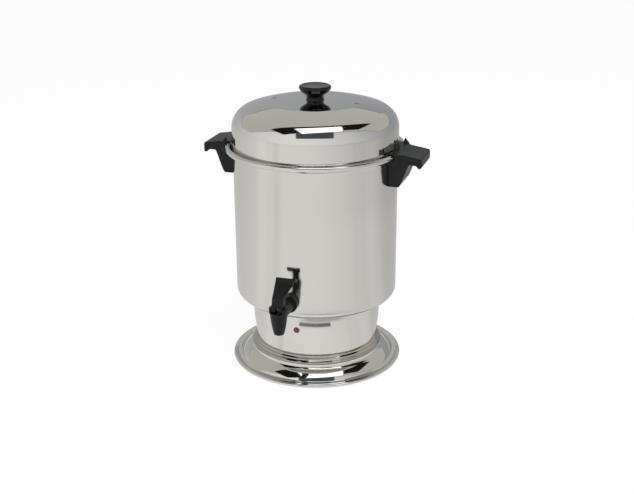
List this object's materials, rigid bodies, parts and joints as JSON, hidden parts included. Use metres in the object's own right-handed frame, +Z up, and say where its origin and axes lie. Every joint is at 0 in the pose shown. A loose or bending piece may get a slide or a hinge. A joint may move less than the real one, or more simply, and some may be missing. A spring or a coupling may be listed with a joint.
{
  "type": "coffee urn",
  "caption": "Percolating coffee urn: polished steel vessel with lift-off domed lid, side handles and lever tap, on a heater housing and round drip base, with pump tube and basket inside.",
  "frame": {"origin": "middle of the bounding box on the plane the feet stand on; the vessel's own axis is 26.7 mm behind it", "axes": "+Z up; -Y towards the tap; the two handles lie on +X and -X"},
  "size_m": [0.342, 0.3272, 0.4361],
  "materials": {
    "polished_steel": "polished stainless steel",
    "plated_steel": "plated steel, satin",
    "aluminium": "drawn aluminium, satin",
    "black_plastic": "moulded phenolic, satin black",
    "black_rubber": "matt",
    "white_rubber": "translucent silicone, matt",
    "red_lens": "clear red moulding",
    "ceramic": "ceramic or heat-proof moulding",
    "heater_sheath": "oxidised sheath",
    "wire_sleeve": "glass-fibre sleeve"
  },
  "bodies": {
    "urn": {"reservoir": "polished_steel", "heater_well": "plated_steel", "well_gasket": "white_rubber", "well_nut": "plated_steel", "perk_element": "heater_sheath", "keep_warm_element": "heater_sheath", "thermostat": "ceramic", "terminal_block": "ceramic", "lead_wires": "wire_sleeve", "tie_rods": "plated_steel", "tie_nuts": "plated_steel", "neck_shell": "polished_steel", "base_ring": "polished_steel", "base_flange": "polished_steel", "bottom_plate": "plated_steel", "foot_pads": "black_rubber", "lamp_lens": "red_lens", "lamp_body": "ceramic", "power_inlet": "black_plastic", "inlet_pins": "plated_steel", "handle_left": "black_plastic", "handle_right": "black_plastic", "handle_screws": "plated_steel", "screw_seals": "white_rubber", "tap_body": "black_plastic", "tap_gasket": "white_rubber", "tap_washer": "white_rubber", "tap_nut": "plated_steel", "tap_bonnet": "black_plastic"},
    "valve": {"tap_stem": "plated_steel", "seat_cup": "white_rubber", "tap_spring": "plated_steel"},
    "lever": {"tap_lever": "black_plastic", "lever_pin": "plated_steel"},
    "pump": {"pump_tube": "aluminium"},
    "basket": {"basket": "aluminium"},
    "spreader": {"basket_cover": "aluminium"},
    "lid": {"lid_shell": "polished_steel", "lid_tabs": "polished_steel", "lid_knob": "black_plastic", "knob_screw": "plated_steel"}
  },
  "joints": [
    {"name": "stem_lift", "type": "slide", "parent": "urn", "child": "valve", "axis": [0, 0, 1], "range_m": [0, 0.0036], "stiffness_N_per_m": 800, "springref_m": -0.004, "deforming": ["tap_spring"]},
    {"name": "lever_tilt", "type": "hinge", "parent": "valve", "child": "lever", "pos_m": [0, -0.1493, 0.1472], "axis": [1, 0, 0], "range_deg": [0, 35]},
    {"name": "pump_lift", "type": "slide", "parent": "urn", "child": "pump", "axis": [0, 0, 1], "range_m": [0, 0.26]},
    {"name": "basket_lift", "type": "slide", "parent": "pump", "child": "basket", "axis": [0, 0, 1], "range_m": [0, 0.1]},
    {"name": "spreader_lift", "type": "slide", "parent": "basket", "child": "spreader", "axis": [0, 0, 1], "range_m": [0, 0.05]},
    {"name": "lid_lift", "type": "slide", "parent": "spreader", "child": "lid", "axis": [0, 0, 1], "range_m": [0, 0.15]}
  ],
  "couplings": [
    {"joint": "lever_tilt", "follows": "stem_lift", "rad_per_m": 166.67}
  ]
}
